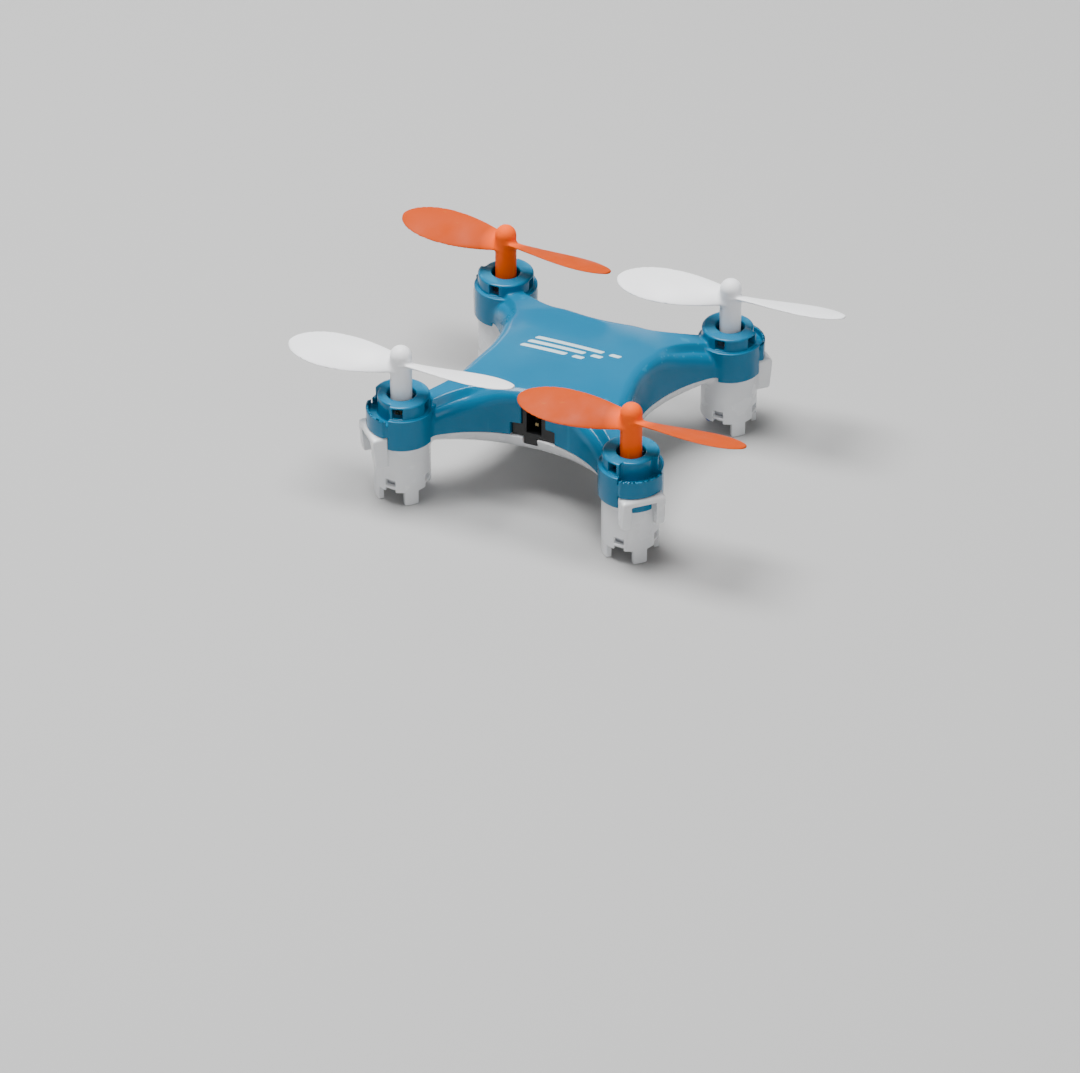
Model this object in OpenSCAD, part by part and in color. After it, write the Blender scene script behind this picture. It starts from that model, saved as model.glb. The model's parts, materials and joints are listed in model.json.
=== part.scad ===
// Palm-size four-rotor drone: two moulded shells, four coreless motors with
// press-on propellers, one circuit board, one pouch cell.
// +Z is up, -Y is the side with the charging socket, and the origin is the
// point on the ground under the middle of the four feet groups.

/* [Layout] */
// Distance between neighbouring motor axes
motor_spacing = 32; // [31:0.5:34]
// Height of the propeller domes above the ground
overall_h = 22; // [21.8:0.1:22.6]
// Half of the body's width at its waist
waist = 10.55; // [10.5:0.05:10.7]
// Radius of the four hollowed sides of the body
side_r = 15.7; // [15.6:0.05:15.8]

/* [Shells] */
// Height of the joint between the two shells
seam_z = 9; // [8.95:0.05:9.1]
// Height of the middle of the canopy
crown_z = 15.9; // [15.7:0.1:16.2]
// Lowest point of the belly
belly_z = 5.7; // [5.5:0.05:5.75]
// Wall thickness of both shells
wall = 0.8; // [0.7:0.05:0.85]
// Height of the flat rings round the propeller hubs
collar_z = 15; // [14.9:0.05:15.1]
// Hole in each ring for the propeller hub
collar_hole_r = 1.86; // [1.75:0.01:2]

/* [Motor pods] */
// Outer radius of the motor barrels
barrel_r = 3.7; // [3.65:0.01:3.74]
// Height of the lower edge of the motor barrels
barrel_z = 1.95; // [1.9:0.05:2.1]
// Width of the foot tabs under the barrels
foot_w = 1.9; // [1.6:0.1:2.2]
// Outer radius of the blue skirt round each barrel
skirt_r = 4.2; // [4.15:0.01:4.3]
// Outer radius of the skirt's outward quarter
skirt_out_r = 4.6; // [4.5:0.01:4.65]
// Distance of the latch pad's flat face from the motor axis
pad_d = 4.9; // [4.8:0.01:5]

/* [Motors] */
// Outer diameter of the motor can
motor_d = 6; // [5.9:0.02:6]
// Length of the motor can
motor_len = 10; // [9.6:0.1:10]
// Diameter of the motor shaft
shaft_d = 0.8; // [0.7:0.02:0.84]

/* [Propellers] */
// Radius at the blade tips
prop_r = 15.4; // [14.4:0.1:15.4]
// Widest chord of a blade
blade_chord = 5.7; // [5:0.1:6]
// Blade angle at mid span, in degrees
blade_pitch = 19; // [14:1:22]
// Blade thickness at mid span
blade_t = 0.55; // [0.45:0.05:0.8]
// Hub radius
hub_r = 1.4; // [1.3:0.05:1.45]
// Hand of the white propellers against the orange ones
white_hand = 1; // [1:same hand, -1:opposite hand]

/* [Power] */
// Battery cell length
cell_l = 17; // [15:0.5:17]
// Battery cell width
cell_w = 11.5; // [10:0.5:11.5]
// Battery cell thickness
cell_t = 4.6; // [4:0.1:4.6]
// Travel of the power switch
switch_travel = 1.5; // [1.2:0.1:1.5]

/* [Hidden] */
$fn = 64;
e = 0.01;
half = motor_spacing / 2;
pod_d = half * sqrt(2);
side_c = waist + side_r;
arm_end = pod_d - 1.2;
crown_r = 94;
belly_r = 108;
motor_r = motor_d / 2;
shaft_r = shaft_d / 2;
can_z0 = barrel_z;
can_z1 = can_z0 + motor_len;
hub_z0 = 13.2;
dome_z = overall_h - hub_r;
blade_z = 19.3;
bush_r = 0.8;
board_z0 = 8.2;
board_z1 = 9.0;
boss_at = 7.6;
socket_w = 3.4;
lead_r = 0.2;
pods = [["rear_left", -1, 1], ["rear_right", 1, 1], ["front_left", -1, -1], ["front_right", 1, -1]];

// ---- helpers -----------------------------------------------------------

// Pod frame: +X points outward along the body's diagonal.
module at_pod(sx, sy) translate([sx * half, sy * half, 0]) rotate(atan2(sy, sx)) children();
module each_pod() for (p = pods) at_pod(p[1], p[2]) children();

// Wedge about +X with half angle a (below 80 degrees), from z0 to z1.
module wedge(a, z0, z1, r = 8) translate([0, 0, z0]) linear_extrude(z1 - z0)
    polygon([[0, 0], [r, -r * tan(a)], [r, r * tan(a)]]);

module tube(ro, ri, z0, z1) translate([0, 0, z0]) difference() {
    cylinder(r = ro, h = z1 - z0);
    translate([0, 0, -1]) cylinder(r = ri, h = z1 - z0 + 2);
}

module block(x0, x1, y0, y1, z0, z1) translate([x0, y0, z0]) cube([x1 - x0, y1 - y0, z1 - z0]);

// Shoulder of a hollowed side: vertical, then an elliptical turn up to zt.
function shoulder(inset, z1, b, a, n = 7) = [for (i = [0:n]) let (t = 84 * i / n)
    [side_r + inset + a * (1 - cos(t)), z1 + b * sin(t)]];

// Blade planform: chord and pitch at radius r.
function chord(r) = let (rw = 0.62 * prop_r)
    (2.2 + (blade_chord - 2.2) * sin(90 * min(1, r / rw)))
    * (r <= rw ? 1 : sqrt(max(0.01, 1 - pow((r - rw) / (prop_r - rw), 2))));
function pitch(r) = blade_pitch + 11 * pow(1 - (r - 1) / (prop_r - 1), 2) - 3 * (r / prop_r);
function thick(r) = blade_t * (1.35 - 0.75 * r / prop_r);

// One blade along +X; the leading edge is on the -Y side and is the higher one.
module blade(m = 12, n = 13) {
    rr = [for (i = [0:n]) 0.9 + (prop_r - 0.9) * sin(90 * i / n)];
    ring = [for (r = rr) let (c = chord(r) / 2, t = thick(r) / 2, p = pitch(r))
        [for (j = [0:m - 1]) let (w = 360 * j / m, y = c * cos(w),
            z = t * sin(w) + 0.25 * t * (1 - cos(w) * cos(w)))
            [r, y * cos(p) + z * sin(p), -y * sin(p) + z * cos(p)]]];
    pts = [for (q = ring) for (v = q) v];
    polyhedron(points = pts, faces = concat(
        [[for (j = [0:m - 1]) j]],
        [[for (j = [0:m - 1]) n * m + m - 1 - j]],
        [for (i = [0:n - 1]) for (j = [0:m - 1]) [i * m + j, (i + 1) * m + j, i * m + (j + 1) % m]],
        [for (i = [0:n - 1]) for (j = [0:m - 1]) [(i + 1) * m + j, (i + 1) * m + (j + 1) % m, i * m + (j + 1) % m]]));
}

// Round wire of radius r swept along points p.
function unit(v) = v / norm(v);
module wire(p, r, m = 8) {
    n = len(p) - 1;
    tan_at = [for (i = [0:n]) unit(p[min(n, i + 1)] - p[max(0, i - 1)])];
    side_v = [0, 1, 0];
    ring = [for (i = [0:n]) let (u = unit(side_v - (side_v * tan_at[i]) * tan_at[i]), w = cross(tan_at[i], u))
        [for (j = [0:m - 1]) p[i] + r * (u * cos(360 * j / m) + w * sin(360 * j / m))]];
    pts = [for (q = ring) for (v = q) v];
    polyhedron(points = pts, faces = concat(
        [[for (j = [0:m - 1]) m - 1 - j]],
        [[for (j = [0:m - 1]) n * m + j]],
        [for (i = [0:n - 1]) for (j = [0:m - 1]) [i * m + j, i * m + (j + 1) % m, (i + 1) * m + j]],
        [for (i = [0:n - 1]) for (j = [0:m - 1]) [(i + 1) * m + j, i * m + (j + 1) % m, (i + 1) * m + (j + 1) % m]]));
}

// ---- shells ------------------------------------------------------------

// Canopy form: a shallow dome with four hollowed sides and soft shoulders.
module canopy_form(inset, zb, reach) difference() {
    intersection() {
        translate([0, 0, zb]) cylinder(r = reach, h = 12, $fn = 128);
        translate([0, 0, crown_z - inset - crown_r]) sphere(r = crown_r, $fn = 240);
    }
    for (a = [0:90:270]) rotate(a) translate([side_c, 0, 0]) rotate_extrude($fn = 128)
        polygon(concat([[0, zb - 1], [side_r + inset, zb - 1]], shoulder(inset, 12.3, 3.6 - inset, 2.2),
            [[side_r + inset + 2.3, 18], [0, 18]]));
}

// Belly form: the same plan, closed by a shallow dome below.
module belly_form(inset, zt, reach) difference() {
    intersection() {
        translate([0, 0, 2]) cylinder(r = reach, h = zt - 2, $fn = 128);
        translate([0, 0, belly_z + inset + belly_r]) sphere(r = belly_r, $fn = 240);
    }
    for (a = [0:90:270]) rotate(a) translate([side_c, 0, 0]) rotate_extrude($fn = 128)
        polygon(concat([[0, 1], [side_r + inset + 1.5, 1]],
            [for (i = [0:6]) let (t = 78 - 13 * i) [side_r + inset + 1.6 * (1 - cos(t)), 8.6 - (2.6 - inset) * sin(t)]],
            [[side_r + inset, zt + 1], [0, zt + 1]]));
}

// Cross-shaped opening round the charging socket.
module socket_opening(g = 0) {
    block(-socket_w / 2 - g, socket_w / 2 + g, -12, -7.9, 8.85 - g, 13.9 + g);
    block(-3.1 - g, 3.1 + g, -12, -9.2, 8.85 - g, 10.9 + g);
    block(-1.5 - g, 0.5 + g, -12, -9.2, 7.75 - g, 9.4);
}

module top_canopy() color("deepskyblue") union() {
    difference() {
        union() {
            canopy_form(0, seam_z, arm_end);
            each_pod() {
                translate([0, 0, seam_z - 0.3]) cylinder(r = skirt_r, h = 13.15 - seam_z + 0.3);
                intersection() {
                    translate([0, 0, 10.55]) cylinder(r = skirt_out_r, h = 2.6);
                    block(0, 6, -2.92, 2.92, 10, 14);
                }
                translate([0, 0, 12]) cylinder(r = barrel_r, h = collar_z - 12);
            }
        }
        canopy_form(wall, seam_z - 1, pod_d - 3);
        each_pod() {
            // motor and barrel space
            translate([0, 0, 8]) cylinder(r = barrel_r + 0.1, h = 3);
            translate([0, 0, 8]) cylinder(r = motor_r + 0.05, h = can_z1 + 0.05 - 8);
            translate([0, 0, 8]) cylinder(r = 2.5, h = 6.1);
            translate([0, 0, 8]) cylinder(r = collar_hole_r, h = 8);
            // lower edge of the skirt: high on the outward side, and level with the seam at the arm
            wedge(44, 8, 10.55);
            rotate(180) wedge(47, 8, seam_z + 0.03, 4.6);
            // outward quarter: a groove between the rim and a slimmer ring
            difference() {
                wedge(45, 12.3, 16);
                translate([0, 0, 12]) cylinder(r = 3.1, h = 5);
                tube(6, skirt_out_r - 0.4, 12, 13.15);
            }
            // small square windows in the ring's side
            for (a = [62, -62, 134, -134]) rotate(a) block(2.3, 4.6, -0.65, 0.65, 13.35, 14.75);
        }
        socket_opening();
        block(-2, 2, 9, 12, 9.4, 10.7);
    }
    // latch tongues under the skirts
    each_pod() intersection() {
        tube(skirt_r, barrel_r + 0.15, 8.2, 10.56);
        wedge(19, 8, 11);
    }
    // screw bosses
    for (x = [-1, 1]) for (y = [-1, 1]) translate([x * boss_at, y * boss_at, 0])
        tube(1.25, 0.6, board_z1, 12.4);
    for (x = [-1, 1]) for (y = [-1, 1]) translate([x * boss_at, y * boss_at, 12.4])
        cylinder(r = 1.25, h = 2.3);
}

module bottom_shell() color("white") difference() {
    union() {
        difference() {
            belly_form(0, seam_z, arm_end);
            belly_form(wall, seam_z + 1, pod_d - 3.9);
        }
        each_pod() {
            translate([0, 0, barrel_z]) cylinder(r = barrel_r, h = 10.9 - barrel_z);
            // foot tabs
            for (a = [0, 90, -90]) rotate(a) intersection() {
                cylinder(r = barrel_r, h = barrel_z + 0.5);
                block(2, 5, -foot_w / 2, foot_w / 2, 0, barrel_z + 0.5);
            }
            // latch pad on the outward side: a flat plate with a rounded top, just under the skirt
            difference() {
                intersection() {
                    rotate([90, 0, 0]) linear_extrude(5.8, center = true) polygon(concat(
                        [[2, 6], [pad_d - 0.3, 6], [pad_d, 9.6]],
                        [for (t = [0:15:90]) [pad_d - 0.4 + 0.4 * cos(t), 10.07 + 0.4 * sin(t)]],
                        [[2, 10.47]]));
                    wedge(43.6, 5, 12);
                }
                translate([0, 0, 10.5]) cylinder(r = skirt_out_r + 0.04, h = 2);
            }
        }
        for (x = [-1, 1]) for (y = [-1, 1]) translate([x * boss_at, y * boss_at, 6.7])
            cylinder(r = 1.75, h = board_z0 - 6.7);
    }
    each_pod() {
        translate([0, 0, -1]) cylinder(r = motor_r, h = 14);
        // channel for the motor leads and their way into the arm
        block(-3.46, -2, -0.65, 0.65, 1, 8.4);
        block(-5, -2, -0.65, 0.65, 8.2, 12);
        // notches round the lower edge, each with a thin bar left across
        for (a = [45, 135, 225, 315]) rotate(a) {
            block(2.5, 4.5, -0.675, 0.675, 1, 2.55);
            block(2.5, 4.5, -0.675, 0.675, 2.85, 3.8);
        }
        // latch window, and the tongue's channel
        difference() {
            block(0, 7, -1.7, 1.7, 5, 9.6);
            translate([0, 0, 4]) cylinder(r = barrel_r, h = 6);
        }
        intersection() {
            tube(skirt_r + 0.08, barrel_r, 8, 12);
            wedge(21, 8, 12);
        }
    }
    for (x = [-1, 1]) for (y = [-1, 1]) translate([x * boss_at, y * boss_at, 0]) {
        translate([0, 0, 4]) cylinder(r = 1.2, h = 3.1);
        translate([0, 0, 4]) cylinder(r = 0.7, h = 5);
    }
    socket_opening();
}

module shell_screws() color("silver") for (x = [-1, 1]) for (y = [-1, 1])
    translate([x * boss_at, y * boss_at, 0]) difference() {
        union() {
            translate([0, 0, 6.4]) cylinder(r = 1.1, h = 0.7);
            translate([0, 0, 7]) cylinder(r = 0.6, h = 5);
        }
        for (a = [0, 90]) rotate(a) block(-0.75, 0.75, -0.14, 0.14, 6, 6.8);
    }

// ---- board and power ---------------------------------------------------

module circuit_board() color("darkgreen") difference() {
    translate([0, 0, board_z0]) linear_extrude(board_z1 - board_z0) difference() {
        intersection() {
            square(20.2, center = true);
            circle(r = 13.6);
        }
        for (a = [0:90:270]) rotate(a) translate([side_c, 0]) circle(r = side_r + wall + 0.35, $fn = 128);
    }
    for (x = [-1, 1]) for (y = [-1, 1]) translate([x * boss_at, y * boss_at, 8]) cylinder(r = 0.7, h = 2);
    block(-3.2, 3.2, -12, -7.2, 8, 10);
}

module chip(x, y, w, l, h, edge = 0.0) translate([x - w / 2, y - l / 2, board_z0 - h]) cube([w, l, h]);

module flight_controller_chip() color("dimgray") chip(0, 0.4, 5, 5, 0.85);
module gyro_chip() color("dimgray") chip(0, 5.4, 3, 3, 0.9);
module radio_chip() color("dimgray") chip(0.8, -4.6, 4, 4, 0.85);
module radio_crystal() color("silver") chip(-3.4, -4.6, 2.5, 3.2, 0.7);
module motor_transistors() color("dimgray") for (x = [-1, 1]) for (y = [-1, 1]) {
    chip(x * 6.6, y * 3.2, 1.3, 2.9, 1.0);
}
module board_capacitors() color("tan") {
    for (x = [-4.2, 4.2]) for (y = [-1.2, 0.6, 2.4]) chip(x, y, 1, 0.5, 0.5);
    for (x = [-2.6, 2.6]) chip(x, 5.4, 0.5, 1, 0.5);
}
module led(sx, sy) translate([sx * 9.2, sy * 9.2, board_z0 - 0.6]) rotate(-45 * sx * sy) translate([-0.8, -0.4, 0]) cube([1.6, 0.8, 0.6]);
module led_front_left() color("royalblue") led(-1, -1);
module led_front_right() color("royalblue") led(1, -1);
module led_rear_left() color("tomato") led(-1, 1);
module led_rear_right() color("tomato") led(1, 1);

module battery_foam_pad() color("dimgray") block(-6.5, 6.5, -4, 4, board_z1, 9.5);

module battery_cell() color("silver") translate([-cell_l / 2, 0, 9.5 + cell_t / 2]) rotate([90, 0, 90])
    linear_extrude(cell_l) {
        square([cell_w - 2.4, cell_t], center = true);
        square([cell_w, cell_t - 2.4], center = true);
        for (x = [-1, 1]) for (y = [-1, 1]) translate([x * (cell_w / 2 - 1.2), y * (cell_t / 2 - 1.2)]) circle(r = 1.2);
    }

module battery_lead(y) wire([[cell_l / 2, y, 12], [cell_l / 2 + 0.2, y, 11.97], [cell_l / 2 + 0.36, y, 11.8],
    [cell_l / 2 + 0.45, y, 11.5], [cell_l / 2 + 0.45, y, 10.4], [cell_l / 2 + 0.4, y, 9.5], [cell_l / 2 + 0.3, y, board_z1]], 0.25);
module battery_lead_red() color("red") battery_lead(1.6);
module battery_lead_black() color("black") battery_lead(-1.6);

module charging_socket() color("black") difference() {
    union() {
        block(-1.6, 1.6, -10.3, -7.2, 8.95, 13.8);
        block(-3.0, 3.0, -10.3, -7.2, 8.95, 10.8);
        block(-1.4, 0.4, -10.3, -7.2, 7.85, 8.96);
    }
    block(-1.05, 1.05, -11, -8.2, 9.6, 13.2);
    for (z = [10.5, 12.3]) block(-0.22, 0.22, -9, -7, z - 0.22, z + 0.22);
}
module charging_contacts() color("gold") for (z = [10.5, 12.3]) {
    block(-0.22, 0.22, -9.4, -6.9, z - 0.22, z + 0.22);
}

module switch_housing() color("gainsboro") difference() {
    block(-3.2, 3.2, 6.6, 9.2, board_z1, 10.6);
    block(-0.7 - switch_travel / 2, 0.7 + switch_travel / 2, 7.6, 9.5, 9.6, 10.3);
}
module switch_slider() color("dimgray") translate([-switch_travel / 2, 0, 0]) {
    block(-0.55, 0.55, 7.7, 11.2, 9.66, 10.24);
}

// ---- motors ------------------------------------------------------------

module motor_can(sx, sy) color("silver") at_pod(sx, sy) {
    difference() {
        translate([0, 0, can_z0]) cylinder(r = motor_r, h = motor_len);
        translate([0, 0, can_z0 - 1]) cylinder(r = motor_r - 0.25, h = motor_len + 0.65);
        translate([0, 0, 8]) cylinder(r = bush_r, h = 8);
    }
}
module motor_magnet(sx, sy) color("slategray") at_pod(sx, sy) tube(1.75, bush_r, can_z0 + 2.7, can_z1 - 0.35);
module motor_end_cap(sx, sy) color("whitesmoke") at_pod(sx, sy) difference() {
    union() {
        translate([0, 0, can_z0]) cylinder(r = motor_r - 0.25, h = 0.6);
        translate([0, 0, can_z0]) cylinder(r = 1, h = 0.8);
    }
    // sockets of the two brush strips
    for (y = [-1, 1]) block(-0.6, 0.6, y * 1.3 - 0.06, y * 1.3 + 0.06, can_z0 + 0.2, 5);
}
module motor_bushes() color("goldenrod") each_pod() {
    tube(bush_r, shaft_r + 0.03, can_z1 - 1.3, can_z1 + 0.55);
    tube(bush_r, shaft_r + 0.03, can_z0 + 2.7, can_z0 + 3.7);
}
module motor_brushes() color("gold") each_pod() for (y = [-1, 1])
    block(-0.6, 0.6, y * 1.3 - 0.06, y * 1.3 + 0.06, can_z0 + 0.2, can_z0 + 1.5);
module motor_coil(sx, sy) color("orangered") at_pod(sx, sy) {
    tube(2.35, 1.95, can_z0 + 1.7, can_z1 - 0.9);
    tube(2.0, shaft_r, can_z0 + 1.7, can_z0 + 2.3);
    tube(1.1, shaft_r, can_z0 + 1.0, can_z0 + 1.71);
}
module motor_shaft(sx, sy) color("lightgray") at_pod(sx, sy)
    translate([0, 0, can_z0 + 0.9]) cylinder(r = shaft_r, h = 19 - can_z0 - 0.9);

module motor_leads(sx, sy) color("navy") at_pod(sx, sy) for (y = [-0.3, 0.3])
    wire([[-1.7, y, can_z0], [-1.75, y, 1.6], [-2.0, y, 1.25], [-2.45, y, 1.1], [-2.9, y, 1.22], [-3.15, y, 1.55],
        [-3.24, y, 2.1], [-3.24, y, 5], [-3.24, y, 8.3], [-3.34, y, 8.8], [-3.65, y, 9.12], [-4.1, y, 9.21],
        [-6, y * 1.2, 9.21], [-8, y * 1.6, 9.21], [-9.5, y * 1.8, 9.21]], lead_r);

// ---- propellers --------------------------------------------------------

module propeller(sx, sy, turn, hand) translate([sx * half, sy * half, 0]) rotate(turn) difference() {
    union() {
        translate([0, 0, hub_z0]) cylinder(r = hub_r, h = dome_z - hub_z0);
        translate([0, 0, dome_z]) sphere(r = hub_r);
        for (a = [0, 180]) rotate(a) translate([0, 0, blade_z]) scale([1, hand, 1]) blade();
    }
    translate([0, 0, 12]) cylinder(r = shaft_r, h = 7, $fn = 32);
}

top_canopy();
bottom_shell();
shell_screws();
circuit_board();
flight_controller_chip();
gyro_chip();
radio_chip();
radio_crystal();
motor_transistors();
board_capacitors();
led_front_left();
led_front_right();
led_rear_left();
led_rear_right();
battery_cell();
battery_foam_pad();
battery_lead_red();
battery_lead_black();
charging_socket();
charging_contacts();
switch_housing();
switch_slider();
motor_can(-1, -1);  // motor_can_front_left
motor_can(1, -1);  // motor_can_front_right
motor_can(-1, 1);  // motor_can_rear_left
motor_can(1, 1);  // motor_can_rear_right
motor_magnet(-1, -1);  // motor_magnet_front_left
motor_magnet(1, -1);  // motor_magnet_front_right
motor_magnet(-1, 1);  // motor_magnet_rear_left
motor_magnet(1, 1);  // motor_magnet_rear_right
motor_end_cap(-1, -1);  // motor_end_cap_front_left
motor_end_cap(1, -1);  // motor_end_cap_front_right
motor_end_cap(-1, 1);  // motor_end_cap_rear_left
motor_end_cap(1, 1);  // motor_end_cap_rear_right
motor_leads(-1, -1);  // motor_leads_front_left
motor_leads(1, -1);  // motor_leads_front_right
motor_leads(-1, 1);  // motor_leads_rear_left
motor_leads(1, 1);  // motor_leads_rear_right
motor_bushes();
motor_brushes();
motor_coil(-1, -1);  // motor_coil_front_left
motor_coil(1, -1);  // motor_coil_front_right
motor_coil(-1, 1);  // motor_coil_rear_left
motor_coil(1, 1);  // motor_coil_rear_right
motor_shaft(-1, -1);  // motor_shaft_front_left
motor_shaft(1, -1);  // motor_shaft_front_right
motor_shaft(-1, 1);  // motor_shaft_rear_left
motor_shaft(1, 1);  // motor_shaft_rear_right
color("white") propeller(-1, -1, 3.7, white_hand);  // propeller_front_left
color("orange") propeller(1, -1, 2, 1);  // propeller_front_right
color("orange") propeller(-1, 1, -3.8, 1);  // propeller_rear_left
color("white") propeller(1, 1, 6, white_hand);  // propeller_rear_right
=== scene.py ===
import json
import math
import bpy
import numpy as np
from mathutils import Matrix, Vector


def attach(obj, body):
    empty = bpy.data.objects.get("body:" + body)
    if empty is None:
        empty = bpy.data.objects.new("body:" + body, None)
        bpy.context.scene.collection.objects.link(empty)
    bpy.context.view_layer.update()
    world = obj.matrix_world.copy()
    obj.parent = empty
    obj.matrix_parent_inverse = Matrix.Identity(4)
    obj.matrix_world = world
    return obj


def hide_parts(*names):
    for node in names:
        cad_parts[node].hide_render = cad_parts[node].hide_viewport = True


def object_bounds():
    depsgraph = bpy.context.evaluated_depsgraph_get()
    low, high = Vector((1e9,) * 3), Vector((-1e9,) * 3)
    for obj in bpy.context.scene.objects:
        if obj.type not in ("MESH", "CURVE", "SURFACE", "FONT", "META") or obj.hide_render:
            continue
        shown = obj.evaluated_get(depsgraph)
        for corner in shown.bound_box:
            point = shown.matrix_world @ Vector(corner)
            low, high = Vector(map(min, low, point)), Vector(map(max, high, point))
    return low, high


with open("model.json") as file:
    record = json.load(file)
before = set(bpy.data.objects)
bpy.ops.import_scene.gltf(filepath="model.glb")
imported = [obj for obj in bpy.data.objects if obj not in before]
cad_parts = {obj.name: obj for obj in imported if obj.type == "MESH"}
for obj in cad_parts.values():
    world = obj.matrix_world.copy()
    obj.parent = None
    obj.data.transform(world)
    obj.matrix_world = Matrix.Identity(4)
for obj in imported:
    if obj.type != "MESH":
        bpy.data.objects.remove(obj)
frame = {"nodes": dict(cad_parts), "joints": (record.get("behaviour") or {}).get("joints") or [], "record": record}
cad_lo, cad_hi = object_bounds()
MM = 0.001
Q = math.sqrt(0.5)

# ---------------------------------------------------------------- sizes, in millimetres; the rotor spacing and the dome top read from the frame, the rest given
rotor_at = {j["name"]: j for j in frame["joints"] if j["type"] == "hinge"}
half = abs(rotor_at["propeller_front_left_spin"]["pos_m"][0]) / MM
top_z = cad_hi.z / MM                               # top of the propeller domes
SIDE_R = 15.7
SIDE_C = 26.25
COLLAR = 15.0
BARREL = 3.7
SKIRT = 4.2
SKIRT_OUT = 4.6
PAD_D = 4.9


# ---------------------------------------------------------------- distance-field helpers
def smax(a, b, k):
    h = np.clip(k - np.abs(a - b), 0.0, None) / k
    return np.maximum(a, b) + h * h * (k * 0.25)


def smin(a, b, k):
    return -smax(-a, -b, k)


def ease(t):
    u = np.clip(t, 0.0, 1.0)
    return u * u * (3.0 - 2.0 * u)


def slab(v, lo, hi):
    """Negative between lo and hi."""
    return np.maximum(lo - v, v - hi)


def box3(x, y, z, x0, x1, y0, y1, z0, z1, r=0.06):
    """A box with edges rounded by r, from a true distance."""
    dx = np.abs(x - (x0 + x1) / 2) - (x1 - x0) / 2 + r
    dy = np.abs(y - (y0 + y1) / 2) - (y1 - y0) / 2 + r
    dz = np.abs(z - (z0 + z1) / 2) - (z1 - z0) / 2 + r
    out = np.sqrt(np.clip(dx, 0, None) ** 2 + np.clip(dy, 0, None) ** 2 + np.clip(dz, 0, None) ** 2)
    return out + np.minimum(np.maximum(dx, np.maximum(dy, dz)), 0.0) - r


def plan(x, y):
    """Inset from the hollowed sides, distance from the middle, and the pod frame (outward X, folded Y, radius)."""
    ax, ay = np.abs(x), np.abs(y)
    s = np.minimum(np.hypot(ax - SIDE_C, ay), np.hypot(ax, ay - SIDE_C)) - SIDE_R
    X = ((ax - half) + (ay - half)) * Q
    Y = np.abs((ay - half) - (ax - half)) * Q
    return ax, ay, s, np.hypot(x, y), X, Y, np.hypot(X, Y)


def wedge(X, Y, deg):
    """Negative within deg of the outward direction."""
    a = math.radians(deg)
    return Y * math.cos(a) - X * math.sin(a)


def seam_at(r0):
    return 8.86 + 0.0013 * np.clip(r0, 0, 19) ** 2


def crown(s, r0):
    """Height of the canopy's top: a shallow dome, a soft shoulder at the waist, and a raised spine on each arm."""
    zc = 15.9 - 0.003 * r0 ** 2 - 0.0093 * np.clip(r0 - 8.0, 0, None) ** 2
    ze = np.minimum(14.1 - 0.29 * (r0 - 10.5), zc - 1.0)
    d = zc - ze
    f = 1.0 - np.clip(s / 1.5, 0.0, 1.0)
    waist = zc - 1.45 + 1.45 * np.sqrt(np.clip(1.0 - f * f, 0.01, 1.0))
    arm = ze + 1.05 * (1.0 - np.clip(1.0 - s / 1.35, 0.0, 1.0) ** 2) + (d - 1.05) * ease((s - 1.02) / 0.8)
    w = ease((r0 - 10.8) / 4.2)
    return waist * (1.0 - w) + arm * w


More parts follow.
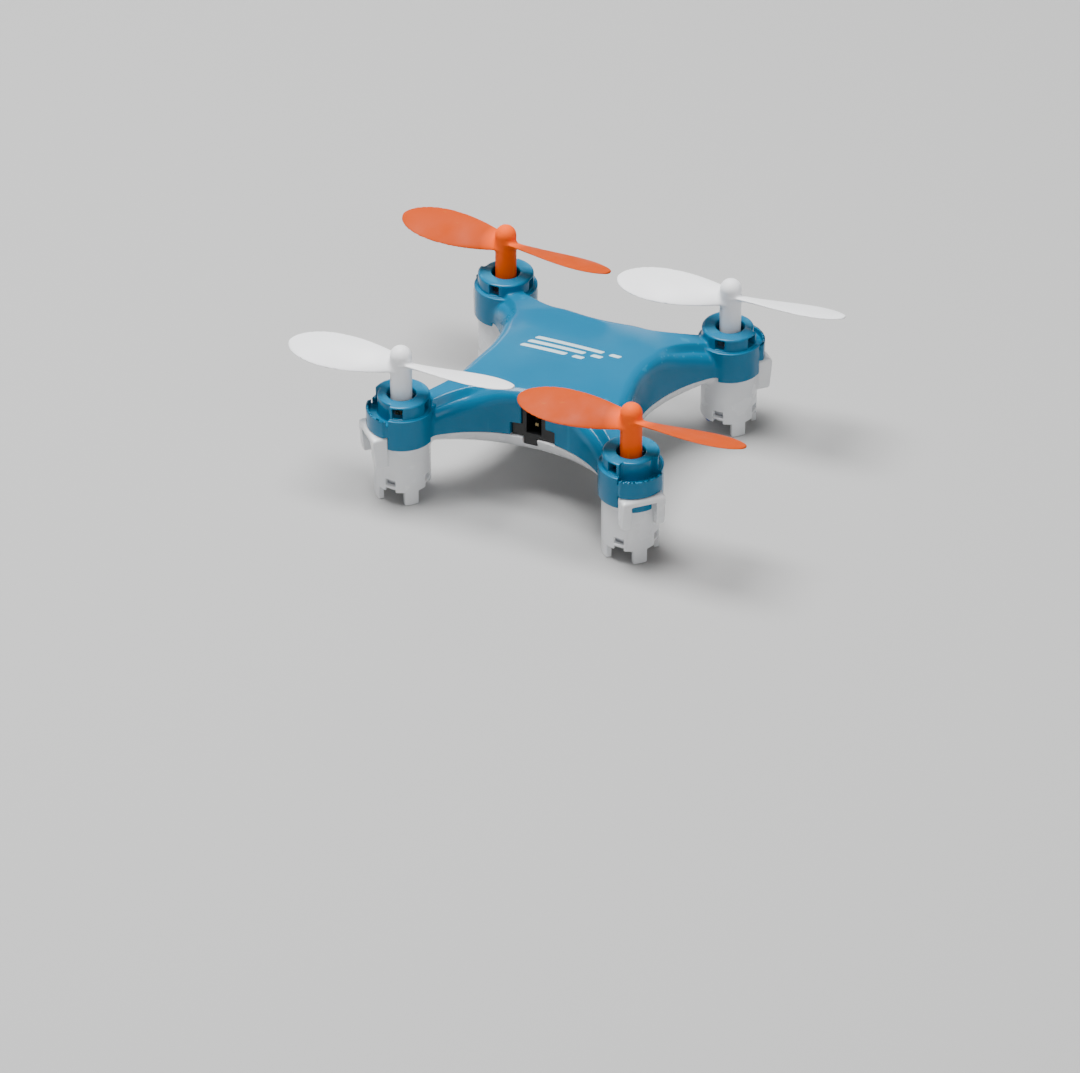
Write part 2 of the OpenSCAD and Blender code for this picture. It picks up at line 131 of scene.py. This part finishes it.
def canopy(x, y, z):
    ax, ay, s, r0, X, Y, rp = plan(x, y)
    h = crown(s, r0)
    body = smax(-s, (z - h) * 0.8, 0.3 + 0.45 * ease((r0 - 10.8) / 4.2))
    body = np.maximum(body, r0 - 21.2)
    # pod: skirt and collar
    sec = wedge(X, Y, 45.0)
    pod = smin(smax(rp - SKIRT, z - 13.15, 0.16), smax(rp - BARREL, z - COLLAR, 0.34), 0.12)
    tab = smax(smax(rp - SKIRT_OUT, z - 13.15, 0.16), np.maximum(Y - 2.92, -X), 0.1)
    pod = smin(pod, smax(tab, 10.2 - z, 0.1), 0.05)
    groove = smax(smax(3.1 - rp, 12.3 - z, 0.12), sec, 0.08)
    rim = smax(smax(SKIRT_OUT - 0.4 - rp, z - 13.15, 0.12), rp - SKIRT - 1, 0.1)
    groove = smax(groove, -rim, 0.1)
    # slimmer ring in the outward quarter has its own soft edge
    slim = smax(rp - 3.1, z - COLLAR, 0.34)
    pod = smax(pod, -groove, 0.1)
    pod = np.where(sec < -0.15, smax(pod, np.where(z > 13.0, slim, pod), 0.05), pod)
    d = smin(body, pod, 0.42)
    # inside
    cav = smax(0.8 - s, (z - (h - 0.8)) * 0.85, 0.6)
    cav = np.maximum(cav, r0 - 19.6)
    cav = np.minimum(cav, np.maximum(rp - BARREL - 0.1, z - 11.0))
    cav = np.minimum(cav, np.maximum(rp - 3.05, z - 12.0))
    cav = np.minimum(cav, np.maximum(rp - 2.5, z - 14.1))
    d = smax(d, -cav, 0.08)
    d = smax(d, 1.86 - rp, 0.22)
    # lower edges: at the seam, under the skirt's sides, and higher on the outward side
    low = np.minimum(SKIRT + 0.03 - rp, -wedge(X, Y, 133.0))
    d = smax(d, -np.maximum(z - seam_at(r0), low), 0.1)
    d = smax(d, 8.7 - z, 0.12)
    d = smax(d, -smax(z - 10.55, wedge(X, Y, 44.0), 0.08), 0.12)
    # windows in the collar
    for deg in (62.0, 134.0):
        a = math.radians(deg)
        u, v = X * math.cos(a) + Y * math.sin(a), -X * math.sin(a) + Y * math.cos(a)
        d = smax(d, -box3(u, v, z, 2.3, 5.5, -0.65, 0.65, 13.33, 14.72, 0.1), 0.1)
    # latch tongues
    tongue = smax(smax(slab(rp, 3.86, SKIRT - 0.02), slab(z, 8.2, 10.9), 0.1), wedge(X, Y, 19.0), 0.1)
    d = smin(d, tongue, 0.08)
    # screw bosses
    rb = np.hypot(ax - 7.6, ay - 7.6)
    boss = np.maximum(np.maximum(rb - 1.25, slab(z, 9.0, 14.9)), -np.maximum(rb - 0.6, z - 12.4))
    d = np.minimum(d, boss)
    # openings for the charging socket in front and the switch at the rear
    d = smax(d, -socket_cut(x, y, z), 0.1)
    d = smax(d, -box3(x, y, z, -2.0, 2.0, 9.0, 12.5, 9.4, 10.7, 0.15), 0.12)
    return d


def socket_cut(x, y, z):
    c = box3(x, y, z, -1.7, 1.7, -13.0, -7.9, 8.85, 13.9, 0.1)
    c = np.minimum(c, box3(x, y, z, -3.1, 3.1, -13.0, -9.2, 8.85, 10.9, 0.1))
    return np.minimum(c, box3(x, y, z, -1.5, 0.5, -13.0, -9.2, 7.75, 9.6, 0.1))


def belly(s, r0):
    return 5.7 + r0 ** 2 / 216.0 + 2.0 * np.clip(1.0 - s / 2.6, 0.0, 1.0) ** 2


def shell(x, y, z):
    ax, ay, s, r0, X, Y, rp = plan(x, y)
    hb = belly(s, r0)
    body = smax(-s, (hb - z) * 0.85, 0.7)
    body = smax(body, z - seam_at(r0) + 0.03, 0.12)
    body = np.maximum(body, r0 - 21.0)
    cav = smax(0.8 - s, (hb + 0.8 - z) * 0.85, 0.5)
    cav = np.maximum(cav, r0 - 18.6)
    # barrel, filleted into the arm's underside
    barrel = smax(rp - BARREL, slab(z, 1.95, 10.9), 0.12)
    below = ease((seam_at(r0) - 0.4 - z) / 0.8)
    d = smin(smax(body, -cav, 0.08), barrel, 0.02) * (1 - below) + smin(smax(body, -cav, 0.08), barrel, 0.75) * below
    # feet
    tab = np.minimum(np.where(X > 0, Y, 9.0), np.abs(X))
    foot = smax(smax(tab - 0.95, rp - BARREL, 0.12), slab(z, 0.0, 2.6), 0.14)
    d = smin(d, foot, 0.06)
    # latch pad with its window and channel
    face = PAD_D - 0.3 * np.clip((9.6 - z) / 3.6, 0, 1)
    pad = smax(smax(X - face, Y - 2.9, 0.3), smax(z - 10.47, 6.0 - z, 0.2), 0.5)
    pad = smax(pad, np.maximum(wedge(X, Y, 43.6), 2.0 - X), 0.06)
    pad = smax(pad, -np.maximum(rp - SKIRT_OUT - 0.04, 10.5 - z), 0.06)
    d = smin(d, pad, 0.14)
    window = smax(smax(BARREL - rp, np.maximum(Y - 1.7, -X), 0.06), z - 9.6, 0.16)
    d = smax(d, -window, 0.12)
    channel = np.maximum(np.maximum(slab(rp, BARREL + 0.02, SKIRT + 0.08), wedge(X, Y, 21.0)), 8.0 - z)
    d = smax(d, -channel, 0.06)
    # screw pillars
    rb = np.hypot(ax - 7.6, ay - 7.6)
    d = np.minimum(d, np.maximum(rb - 1.75, slab(z, 6.7, 8.2)))
    d = smax(d, -np.maximum(rb - 1.2, z - 7.1), 0.1)
    d = np.maximum(d, 0.7 - rb)
    # bore, lead channel and its way into the arm
    d = smax(d, 3.0 - rp, 0.1)
    d = np.maximum(d, -np.maximum(np.maximum(slab(X, -3.46, -2), Y - 0.65), z - 8.4))
    d = np.maximum(d, -np.maximum(np.maximum(slab(X, -5.0, -2), Y - 0.65), 8.2 - z))
    # notches with a thin bar across
    for sx in (1.0, -1.0):
        u, v = (X * sx + Y) * Q, (Y - X * sx) * Q
        n = np.minimum(box3(u, v, z, 2.0, 4.6, -0.675, 0.675, 1.0, 2.52, 0.1),
                       box3(u, v, z, 2.0, 4.6, -0.675, 0.675, 2.84, 3.8, 0.12))
        d = smax(d, -n, 0.08)
    return smax(d, -socket_cut(x, y, z), 0.1)


# ---------------------------------------------------------------- blades
PROP_R = 15.4
BLADE_Z = 19.3


def blade_law(r):
    rw = 0.62 * PROP_R
    c = 2.2 + 3.5 * np.sin(math.pi / 2 * np.clip(r / rw, 0, 1))
    c = c * np.sqrt(np.clip(1.0 - np.clip((r - rw) / (PROP_R - rw), 0, 1) ** 2, 1e-4, 1))
    p = np.radians(19.0 + 11.0 * np.clip(1.0 - (r - 1) / (PROP_R - 1), 0, 1.1) ** 2 - 3.0 * r / PROP_R)
    t = 0.55 * (1.35 - 0.75 * r / PROP_R)
    return c, p, t


def propeller(x, y, z):
    r = np.abs(x)
    yy = np.where(x > 0, y, -y)
    c, p, t = blade_law(r)
    zz = z - BLADE_Z
    u = yy * np.cos(p) - zz * np.sin(p)
    v = yy * np.sin(p) + zz * np.cos(p)
    a, b = c / 2, t / 2
    v = v - 0.25 * b * (1.0 - np.clip(u / a, -1, 1) ** 2)
    k0 = np.sqrt((u / a) ** 2 + (v / b) ** 2) + 1e-6
    k1 = np.sqrt((u / a ** 2) ** 2 + (v / b ** 2) ** 2) + 1e-6
    blade = k0 * (k0 - 1.0) / k1
    blade = np.clip(blade, -2.0, 4.0)
    blade = smax(blade, r - PROP_R + 0.02, 0.1)
    rh = np.hypot(x, y)
    dome = top_z - 1.4
    hub = np.where(z > dome, np.sqrt(rh ** 2 + (z - dome) ** 2) - 1.4, rh - 1.4)
    hub = smax(hub, 13.2 - z, 0.15)
    d = smin(hub, blade, 0.5)
    return np.maximum(d, -np.maximum(rh - 0.4, z - 19.0))


# ---------------------------------------------------------------- surface nets
def nets(field, lo, hi, h, mirror=False):
    """Vertices and quads of field's zero level. The mirror argument is not used."""
    n = [int(math.ceil((b - a) / h)) + 1 for a, b in zip(lo, hi)]
    ax = [lo[i] + h * np.arange(n[i]) for i in range(3)]
    F = np.empty(n, np.float32)
    step = max(1, int(1.5e6 / (n[1] * n[2])))
    for i in range(0, n[0], step):
        gx, gy, gz = np.meshgrid(ax[0][i:i + step], ax[1], ax[2], indexing="ij")
        F[i:i + step] = field(gx, gy, gz)
    s = F < 0
    c = s[:-1, :-1, :-1].astype(np.int8)
    for i, j, k in ((1, 0, 0), (0, 1, 0), (1, 1, 0), (0, 0, 1), (1, 0, 1), (0, 1, 1), (1, 1, 1)):
        c = c + s[i:n[0] - 1 + i, j:n[1] - 1 + j, k:n[2] - 1 + k]
    active = (c > 0) & (c < 8)
    idx = np.full(active.shape, -1, np.int64)
    I = np.argwhere(active)
    idx[active] = np.arange(len(I))
    corners = {}
    for i in (0, 1):
        for j in (0, 1):
            for k in (0, 1):
                corners[i, j, k] = F[I[:, 0] + i, I[:, 1] + j, I[:, 2] + k].astype(float)
    acc, cnt = np.zeros((len(I), 3)), np.zeros(len(I))
    for a in corners:
        for axis in range(3):
            if a[axis]:
                continue
            b = list(a); b[axis] = 1; b = tuple(b)
            fa, fb = corners[a], corners[b]
            cross = (fa < 0) != (fb < 0)
            t = np.where(cross, fa / np.where(cross, fa - fb, 1), 0)
            p = np.tile(np.array(a, float), (len(I), 1))
            p[:, axis] += t
            acc += p * cross[:, None]
            cnt += cross
    v = (I + acc / cnt[:, None]) * h + np.array(lo)
    quads = []
    for axis in range(3):
        o1, o2 = [(1, 2), (2, 0), (0, 1)][axis]
        sl0, sl1 = [slice(1, -1)] * 3, [slice(1, -1)] * 3
        sl0[axis], sl1[axis] = slice(0, -1), slice(1, None)
        s0, s1 = s[tuple(sl0)], s[tuple(sl1)]
        e = np.argwhere(s0 != s1)
        inside = s0[s0 != s1]
        e = e + np.array([0 if q == axis else 1 for q in range(3)])
        ring = []
        for d1, d2 in ((-1, -1), (0, -1), (0, 0), (-1, 0)):
            g = e.copy()
            g[:, o1] += d1
            g[:, o2] += d2
            ring.append(idx[g[:, 0], g[:, 1], g[:, 2]])
        q = np.stack(ring, 1)
        q[~inside] = q[~inside][:, ::-1]
        quads.append(q)
    return v, np.concatenate(quads)


def gradient(field, p, e=0.015):
    g = np.empty_like(p)
    for i in range(3):
        d = np.zeros(3); d[i] = e
        a, b = p + d, p - d
        g[:, i] = (field(a[:, 0], a[:, 1], a[:, 2]) - field(b[:, 0], b[:, 1], b[:, 2])) / (2 * e)
    return g


def settle(field, p, h, rounds=3):
    for _ in range(rounds):
        f = field(p[:, 0], p[:, 1], p[:, 2])
        g = gradient(field, p)
        n2 = np.maximum((g ** 2).sum(1), 0.05)
        step = -f[:, None] * g / n2[:, None]
        ln = np.linalg.norm(step, axis=1)
        step *= np.minimum(1.0, 0.4 * h / np.maximum(ln, 1e-9))[:, None]
        p = p + step
    g = gradient(field, p, 0.02)
    return p, g / np.maximum(np.linalg.norm(g, axis=1), 1e-9)[:, None]


def mesh_of(name, v, faces, scale=MM):
    m = bpy.data.meshes.new(name)
    m.vertices.add(len(v))
    m.vertices.foreach_set("co", (np.asarray(v) * scale).astype(np.float32).ravel())
    k = faces.shape[1]
    m.loops.add(faces.size)
    m.loops.foreach_set("vertex_index", faces.astype(np.int32).ravel())
    m.polygons.add(len(faces))
    m.polygons.foreach_set("loop_start", (np.arange(len(faces)) * k).astype(np.int32))
    m.update(calc_edges=True)
    m.validate()
    return m


def moulded(name, field, lo, hi, h, keep):
    """A closed mesh of field's surface, thinned to about keep triangles, with the field's own normals."""
    v, q = nets(field, lo, hi, h)
    v, _ = settle(field, v, h, 2)
    m = mesh_of(name, v, q)
    o = bpy.data.objects.new(name, m)
    bpy.context.scene.collection.objects.link(o)
    if 2 * len(q) > keep:
        mod = o.modifiers.new("thin", "DECIMATE")
        mod.ratio = keep / (2 * len(q))
        dg = bpy.context.evaluated_depsgraph_get()
        thin = bpy.data.meshes.new_from_object(o.evaluated_get(dg))
        o.modifiers.clear()
        o.data = thin
        bpy.data.meshes.remove(m)
        m = thin
    p = np.empty(len(m.vertices) * 3, np.float32)
    m.vertices.foreach_get("co", p)
    p = p.reshape(-1, 3).astype(float) / MM
    p, n = settle(field, p, h * 0.5, 2)
    m.vertices.foreach_set("co", (p * MM).astype(np.float32).ravel())
    m.shade_smooth()
    m.update()
    m.normals_split_custom_set_from_vertices(n.astype(np.float32))
    return o


H = 0.125
canopy_o = moulded("canopy_moulding", canopy, (-20.9, -20.9, 7.8), (20.9, 20.9, 16.4), H, 195000)
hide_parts("top_canopy")
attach(canopy_o, "airframe")
shell_o = moulded("shell_moulding", shell, (-21.9, -21.9, -0.4), (21.9, 21.9, 11.6), H, 195000)
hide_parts("bottom_shell")
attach(shell_o, "airframe")

HP = 0.1
prop_mesh = moulded("prop_master", propeller, (-15.8, -3.6, 12.8), (15.8, 3.6, 22.4), HP, 60000)
REST = {"front_left": 3.7, "front_right": 2.0, "rear_left": -3.8, "rear_right": 6.0}
props = {}
for c, turn in REST.items():
    x, y = (-half if "left" in c else half), (-half if "front" in c else half)
    m = prop_mesh.data.copy()
    R = Matrix.Rotation(math.radians(turn), 4, "Z")
    n = np.empty(len(m.vertices) * 3, np.float32)
    m.vertex_normals.foreach_get("vector", n)
    m.transform(Matrix.Translation((x * MM, y * MM, 0)) @ R)
    o = bpy.data.objects.new("propeller_" + c + "_moulding", m)
    bpy.context.scene.collection.objects.link(o)
    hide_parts("propeller_" + c)
    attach(o, "rotor_" + c)
    props[c] = o
bpy.data.objects.remove(prop_mesh)


# ---------------------------------------------------------------- plain printed stripes on the canopy
def top_at(x, y):
    _, _, s, r0, _, _, _ = plan(np.asarray(x, float), np.asarray(y, float))
    return crown(s, r0)


def stripe(name, x0, x1, y0, width, lean, nu=56, nv=6):
    """A thin bar of print along X with slanted, rounded ends, following the canopy."""
    u = np.linspace(-1, 1, nu + 1)
    u = np.sign(u) * (1 - (1 - np.abs(u)) ** 1.6)
    half_l, mid = (x1 - x0) / 2, (x0 + x1) / 2
    end = width * 0.35 / half_l
    rim = np.sqrt(np.clip(1 - np.clip((np.abs(u) - (1 - end)) / end, 0, 1) ** 2, 0.0, 1))
    wv = width / 2 * (0.45 + 0.55 * rim)
    pts, faces = [], []
    for layer in (0.016, -0.07):
        for i in range(nu + 1):
            for j in range(nv + 1):
                v = (2 * j / nv - 1) * wv[i]
                x, y = mid + u[i] * half_l + v * lean, y0 + v
                pts.append((x, y, float(top_at(x, y)) + layer))
    n = (nu + 1) * (nv + 1)
    at = lambda l, i, j: l * n + i * (nv + 1) + j
    for i in range(nu):
        for j in range(nv):
            faces.append((at(0, i, j), at(0, i + 1, j), at(0, i + 1, j + 1), at(0, i, j + 1)))
            faces.append((at(1, i, j), at(1, i, j + 1), at(1, i + 1, j + 1), at(1, i + 1, j)))
    for i in range(nu):
        faces.append((at(0, i, 0), at(1, i, 0), at(1, i + 1, 0), at(0, i + 1, 0)))
        faces.append((at(0, i, nv), at(0, i + 1, nv), at(1, i + 1, nv), at(1, i, nv)))
    for j in range(nv):
        faces.append((at(0, 0, j), at(0, 0, j + 1), at(1, 0, j + 1), at(1, 0, j)))
        faces.append((at(0, nu, j), at(1, nu, j), at(1, nu, j + 1), at(0, nu, j + 1)))
    m = mesh_of(name, np.array(pts), np.array(faces))
    o = bpy.data.objects.new(name, m)
    bpy.context.scene.collection.objects.link(o)
    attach(o, "airframe")
    return o


stripes = [stripe("canopy_stripe_%d" % (i + 1), *a) for i, a in enumerate((
    (-5.2, 4.2, 2.0, 0.62, 0.55), (-5.75, 2.1, 0.85, 0.62, 0.55), (-6.3, 0.0, -0.3, 0.62, 0.55),
    (5.2, 6.6, 2.0, 0.62, 0.55), (3.1, 4.5, 0.85, 0.62, 0.55), (1.0, 2.4, -0.3, 0.62, 0.55)))]


# ---------------------------------------------------------------- materials
def material(name):
    m = bpy.data.materials.new(name)
    m.use_nodes = True
    nt = m.node_tree
    for n in list(nt.nodes):
        nt.nodes.remove(n)
    out = nt.nodes.new("ShaderNodeOutputMaterial")
    b = nt.nodes.new("ShaderNodeBsdfPrincipled")
    nt.links.new(b.outputs[0], out.inputs[0])
    return m, nt, b


def plastic(name, base, dark, light, rough, bump, coat=0.0, sss=0.0, sss_c=(1, 1, 1), scale=1.0, spec=0.5):
    m, nt, b = material(name)
    N, L = nt.nodes.new, nt.links.new
    tc = N("ShaderNodeTexCoord")
    big = N("ShaderNodeTexNoise"); big.inputs["Scale"].default_value = 90 * scale; big.inputs["Detail"].default_value = 4
    L(tc.outputs["Object"], big.inputs["Vector"])
    ramp = N("ShaderNodeValToRGB")
    ramp.color_ramp.elements[0].position, ramp.color_ramp.elements[0].color = 0.3, (*dark, 1)
    ramp.color_ramp.elements[1].position, ramp.color_ramp.elements[1].color = 0.7, (*base, 1)
    L(big.outputs["Fac"], ramp.inputs[0])
    # painted highlight: convex edges get the lighter colour, mixed in by the surface's pointiness
    geo = N("ShaderNodeNewGeometry")
    edge_highlight = N("ShaderNodeMapRange")
    edge_highlight.inputs["From Min"].default_value, edge_highlight.inputs["From Max"].default_value = 0.53, 0.62
    L(geo.outputs["Pointiness"], edge_highlight.inputs["Value"])
    wn = N("ShaderNodeMath"); wn.operation = "MULTIPLY"; wn.inputs[1].default_value = 0.35
    L(edge_highlight.outputs[0], wn.inputs[0])
    mix = N("ShaderNodeMixRGB"); mix.inputs[2].default_value = (*light, 1)
    L(wn.outputs[0], mix.inputs[0]); L(ramp.outputs[0], mix.inputs[1])
    L(mix.outputs[0], b.inputs["Base Color"])
    # roughness: handling haze
    haze = N("ShaderNodeTexNoise"); haze.inputs["Scale"].default_value = 260 * scale; haze.inputs["Detail"].default_value = 6
    L(tc.outputs["Object"], haze.inputs["Vector"])
    rr = N("ShaderNodeMapRange")
    rr.inputs["From Min"].default_value, rr.inputs["From Max"].default_value = 0.3, 0.7
    rr.inputs["To Min"].default_value, rr.inputs["To Max"].default_value = rough * 0.75, rough * 1.3
    L(haze.outputs["Fac"], rr.inputs["Value"]); L(rr.outputs[0], b.inputs["Roughness"])
    # orange peel of the moulding
    peel = N("ShaderNodeTexNoise"); peel.inputs["Scale"].default_value = 1100 * scale; peel.inputs["Detail"].default_value = 3
    L(tc.outputs["Object"], peel.inputs["Vector"])
    bp = N("ShaderNodeBump"); bp.inputs["Strength"].default_value = bump; bp.inputs["Distance"].default_value = 0.00005
    L(peel.outputs["Fac"], bp.inputs["Height"]); L(bp.outputs[0], b.inputs["Normal"])
    b.inputs["Coat Weight"].default_value = coat
    b.inputs["Coat Roughness"].default_value = 0.04
    b.inputs["Specular IOR Level"].default_value = spec
    if sss:
        b.inputs["Subsurface Weight"].default_value = sss
        b.inputs["Subsurface Radius"].default_value = sss_c
        b.inputs["Subsurface Scale"].default_value = 0.0006
    return m, nt, b, mix


canopy_mat, *_ = plastic("canopy_blue_plastic", (0.001, 0.150, 0.290), (0.001, 0.133, 0.260), (0.02, 0.25, 0.42), 0.20, 0.10, coat=0.06, spec=0.28)
shell_mat, *_ = plastic("shell_white_plastic", (0.80, 0.81, 0.82), (0.76, 0.77, 0.79), (0.90, 0.90, 0.90), 0.24, 0.10, coat=0.2, sss=0.15, sss_c=(1, 0.9, 0.8))
orange_mat, ont, ob, omix = plastic("propeller_orange_plastic", (1.0, 0.115, 0.0), (0.95, 0.10, 0.0), (1.0, 0.22, 0.01), 0.55, 0.10, spec=0.12)
# the thin blades are a deeper orange than the solid hubs
otc = ont.nodes.new("ShaderNodeTexCoord")
oab = ont.nodes.new("ShaderNodeVectorMath"); oab.operation = "ABSOLUTE"
ofl = ont.nodes.new("ShaderNodeVectorMath"); ofl.operation = "MULTIPLY"; ofl.inputs[1].default_value = (1, 1, 0)
odi = ont.nodes.new("ShaderNodeVectorMath"); odi.operation = "DISTANCE"; odi.inputs[1].default_value = (0.016, 0.016, 0)
omr = ont.nodes.new("ShaderNodeMapRange")
omr.inputs["From Min"].default_value, omr.inputs["From Max"].default_value = 0.0015, 0.0035
omr.inputs["To Min"].default_value, omr.inputs["To Max"].default_value = 1.0, 0.5
ont.links.new(otc.outputs["Object"], oab.inputs[0]); ont.links.new(oab.outputs[0], ofl.inputs[0])
ont.links.new(ofl.outputs[0], odi.inputs[0]); ont.links.new(odi.outputs["Value"], omr.inputs["Value"])
odk = ont.nodes.new("ShaderNodeVectorMath"); odk.operation = "SCALE"
ont.links.new(omix.outputs[0], odk.inputs[0]); ont.links.new(omr.outputs[0], odk.inputs["Scale"])
ont.links.new(odk.outputs[0], ob.inputs["Base Color"])
white_mat, *_ = plastic("propeller_white_plastic", (0.90, 0.905, 0.92), (0.86, 0.87, 0.89), (0.95, 0.95, 0.95), 0.42, 0.10, spec=0.35)

print_mat, *_ = plastic("stripe_print", (0.52, 0.70, 0.74), (0.44, 0.62, 0.67), (0.70, 0.82, 0.84), 0.35, 0.2, scale=1.6)
for o in stripes:
    o.data.materials.append(print_mat)
for o, m in ((canopy_o, canopy_mat), (shell_o, shell_mat)):
    o.data.materials.clear(); o.data.materials.append(m)
for c, o in props.items():
    o.data.materials.clear()
    o.data.materials.append(orange_mat if c in ("front_right", "rear_left") else white_mat)

generic = {}
for row in frame["record"]["materials"]:
    if row["slot"] in ("canopy_blue", "shell_white", "propeller_orange", "propeller_white"):
        continue
    col = tuple(row["base_color"][:3])
    # painted shade: the gold is darkened to 30% of its own colour so the contacts read dark and unlit
    if row["slot"] == "contact_gold":
        col = tuple(0.3 * v for v in col)
    # the socket's own black plastic, taken down to near zero as painted shade of its deep opening
    if row["slot"] == "socket_black":
        col = (0.004, 0.004, 0.0045)
    metal = row["class"] in ("brushed_steel", "chrome", "brass", "aluminium")
    m, nt, b, _ = plastic(row["slot"] + "_finish", col, tuple(0.85 * x for x in col), tuple(min(1, 1.25 * x + 0.02) for x in col),
                          0.28 if metal else 0.45, 0.3, scale=2.0)
    b.inputs["Metallic"].default_value = 1.0 if metal else 0.0
    generic[row["slot"]] = m
slot_of = {s["node"]: s["material_slot"] for s in frame["record"]["subparts"]}
for n, o in frame["nodes"].items():
    if slot_of[n] in generic:
        o.data.materials.clear()
        o.data.materials.append(generic[slot_of[n]])

# ---------------------------------------------------------------- floor, light, camera
bpy.ops.mesh.primitive_plane_add(size=6, location=(0, 0, 0))
floor = bpy.context.object
floor.name = "floor"
fm, fnt, fb = material("floor_paper")
fb.inputs["Base Color"].default_value = (0.42, 0.42, 0.417, 1)
fb.inputs["Roughness"].default_value = 0.7
floor.data.materials.append(fm)


def area(name, loc, target, size, power, col=(1, 1, 1)):
    l = bpy.data.lights.new(name, "AREA")
    l.shape = "RECTANGLE"
    l.size, l.size_y = size
    l.energy = power
    l.color = col
    o = bpy.data.objects.new(name, l)
    o.location = loc
    o.rotation_mode = "QUATERNION"
    o.rotation_quaternion = (Vector(target) - Vector(loc)).to_track_quat("-Z", "Y")
    bpy.context.scene.collection.objects.link(o)
    return o


area("key", (-0.14, 0.0, 0.62), (0, 0, 0.01), (0.34, 0.34), 9.5)
area("fill", (0.45, -0.35, 0.35), (0, 0, 0.01), (0.4, 0.3), 0.8)
area("back", (-0.40, 0.62, 0.30), (0, 0, 0.01), (0.5, 0.10), 0.7)
world = bpy.data.worlds.new("studio")
bpy.context.scene.world = world
world.use_nodes = True
world.node_tree.nodes["Background"].inputs[0].default_value = (0.86, 0.88, 0.9, 1)
world.node_tree.nodes["Background"].inputs[1].default_value = 0.28

cam_d = bpy.data.cameras.new("camera")
cam = bpy.data.objects.new("camera", cam_d)
bpy.context.scene.collection.objects.link(cam)
az, el = math.radians(24.388), math.radians(34.525)
back = Vector((math.sin(az) * math.cos(el), -math.cos(az) * math.cos(el), math.sin(el)))
cam.location = (0.27433, -0.61354, 0.44957)
right = Vector((math.cos(az), math.sin(az), 0))
up = back.cross(right)
cam.rotation_mode = "QUATERNION"
cam.rotation_quaternion = Matrix((right, up, back)).transposed().to_quaternion()
cam_d.sensor_width = 36
cam_d.lens = 207.3
cam_d.clip_start, cam_d.clip_end = 0.01, 20
bpy.context.scene.camera = cam
